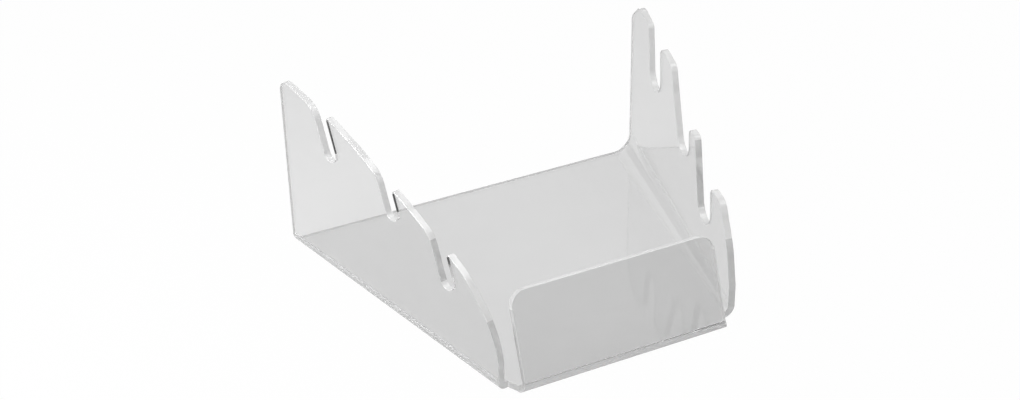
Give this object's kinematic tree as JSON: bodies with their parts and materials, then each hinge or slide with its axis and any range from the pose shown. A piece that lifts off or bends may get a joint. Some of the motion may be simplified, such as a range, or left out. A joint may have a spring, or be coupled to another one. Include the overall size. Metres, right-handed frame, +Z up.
{
  "type": "knife display stand",
  "caption": "Clear bent-sheet stand with a flared base, two stepped side panels with open slots for knives, and a low leaning sign panel.",
  "frame": {"origin": "bottom centre of the bounding box, on the surface that the stand rests on", "axes": "+X to the stand's right as seen from the front, +Y to the rear, +Z up"},
  "size_m": [0.177, 0.1492, 0.083],
  "materials": {
    "clear_acrylic": "clear, glossy"
  },
  "bodies": {
    "root": {"base_panel": "clear_acrylic", "front_bend": "clear_acrylic", "front_sign_panel": "clear_acrylic", "left_bend": "clear_acrylic", "left_side_panel": "clear_acrylic", "right_bend": "clear_acrylic", "right_side_panel": "clear_acrylic"}
  },
  "joints": []
}
